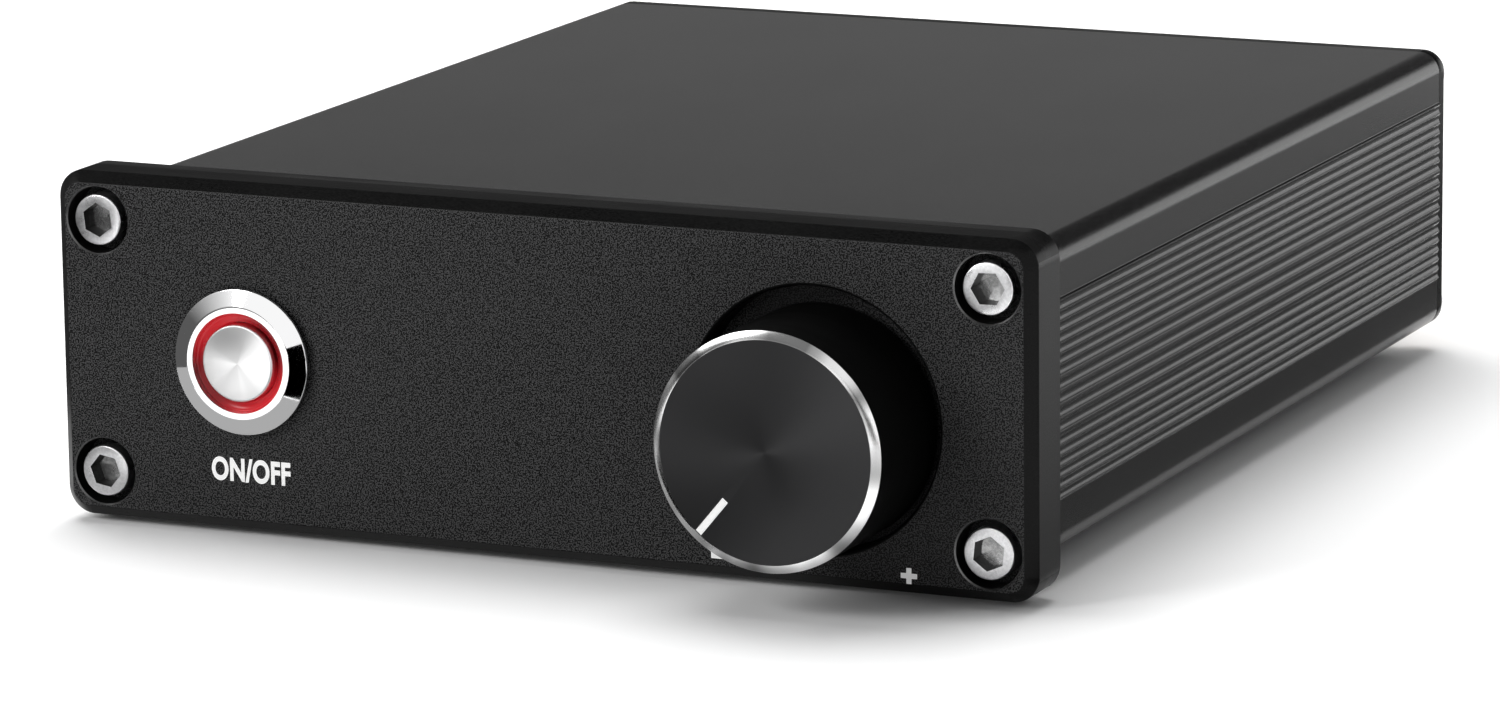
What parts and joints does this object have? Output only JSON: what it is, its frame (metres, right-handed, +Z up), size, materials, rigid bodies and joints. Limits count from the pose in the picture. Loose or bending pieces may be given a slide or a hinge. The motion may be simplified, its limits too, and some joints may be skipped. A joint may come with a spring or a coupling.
{
  "type": "phono preamp",
  "caption": "Small desktop phono preamp: thick front panel with volume knob and lit power button, ribbed extruded case, phono sockets, ground post and power inlet behind.",
  "frame": {"origin": "on the surface it stands on, under the centre of the whole object's bounding box", "axes": "+X to the right seen from the front, +Y from the front panel to the rear sockets, +Z up"},
  "size_m": [0.112, 0.159, 0.0382],
  "materials": {
    "panel_black": "bead-blasted, black anodised",
    "case_grey": "extruded, dark grey anodised",
    "knob_black": "fine turned, black anodised",
    "pointer_white": "white enamel fill",
    "screw_steel": "satin stainless",
    "dark_steel": "black oxide",
    "plated_steel": "bright zinc",
    "polished_steel": "polished stainless",
    "spun_steel": "spun face, fine concentric grain",
    "lamp_red": "clear red, lit from behind",
    "rubber_black": "soft matt",
    "plastic_black": "moulded",
    "plastic_cream": "moulded",
    "plastic_red": "moulded",
    "plastic_white": "moulded",
    "plastic_green": "moulded",
    "gold_plate": "gold plated, bright",
    "tinned_metal": "tinned",
    "carbon_track": "printed carbon",
    "board_green": "solder mask",
    "can_blue": "shrunk sleeve",
    "can_black": "shrunk sleeve",
    "film_red": "dipped",
    "chip_black": "moulded epoxy",
    "resistor_blue": "lacquered",
    "lead_red": "insulation",
    "lead_green": "insulation"
  },
  "bodies": {
    "case": {"front_panel": "panel_black", "case_sleeve": "case_grey", "rear_panel": "panel_black", "front_screws": "screw_steel", "rear_screws": "screw_steel", "rubber_feet": "rubber_black", "switch_housing": "polished_steel", "switch_gasket": "rubber_black", "switch_nut": "plated_steel", "switch_light_ring": "lamp_red", "switch_base": "plastic_black", "switch_terminals": "tinned_metal", "switch_spring": "plated_steel", "pot_bushing": "plated_steel", "pot_body": "plastic_green", "pot_track": "carbon_track", "pot_pins": "tinned_metal", "pot_washer": "plated_steel", "pot_nut": "plated_steel", "circuit_board": "board_green", "filter_capacitors": "can_blue", "signal_capacitors": "can_black", "film_capacitors": "film_red", "chip_sockets": "plastic_black", "amplifier_chips": "chip_black", "resistors": "resistor_blue", "voltage_regulators": "chip_black", "board_header": "plastic_cream", "lead_plug": "plastic_cream", "switch_leads": "lead_red", "input_right_shell": "gold_plate", "input_left_shell": "gold_plate", "output_right_shell": "gold_plate", "output_left_shell": "gold_plate", "input_right_contact": "gold_plate", "input_left_contact": "gold_plate", "output_right_contact": "gold_plate", "output_left_contact": "gold_plate", "red_collars": "plastic_red", "white_collars": "plastic_white", "red_cores": "plastic_red", "white_cores": "plastic_white", "jack_washers": "plastic_black", "jack_nuts": "gold_plate", "jack_tags": "tinned_metal", "signal_leads": "tinned_metal", "dc_jack_housing": "plastic_black", "dc_jack_pin": "tinned_metal", "ground_post": "gold_plate", "ground_lock_nut": "plated_steel", "ground_lead": "lead_green"},
    "volume_knob": {"knob": "knob_black", "knob_pointer": "pointer_white", "knob_set_screw": "dark_steel", "pot_shaft": "plated_steel", "pot_wiper": "tinned_metal"},
    "power_button": {"button_cap": "spun_steel", "switch_plunger": "plastic_cream"},
    "ground_clamp": {"ground_washer": "plated_steel"},
    "ground_nut": {"ground_thumb_nut": "gold_plate"}
  },
  "joints": [
    {"name": "volume_turn", "type": "hinge", "parent": "case", "child": "volume_knob", "pos_m": [0.0317, -0.0674, 0.01725], "axis": [0, 1, 0], "range_deg": [0, 280]},
    {"name": "power_press", "type": "slide", "parent": "case", "child": "power_button", "axis": [0, 1, 0], "range_m": [0, 0.002], "stiffness_N_per_m": 1000, "springref_m": -0.0008, "deforming": ["switch_spring"]},
    {"name": "ground_washer_slide", "type": "slide", "parent": "case", "child": "ground_clamp", "axis": [0, 1, 0], "range_m": [0, 0.0028]},
    {"name": "ground_nut_turn", "type": "hinge", "parent": "ground_clamp", "child": "ground_nut", "pos_m": [0.01425, 0.0703, 0.01945], "axis": [0, 1, 0], "range_deg": [0, 1440]}
  ],
  "couplings": [
    {"joint": "ground_nut_turn", "follows": "ground_washer_slide", "rad_per_m": 8976}
  ]
}
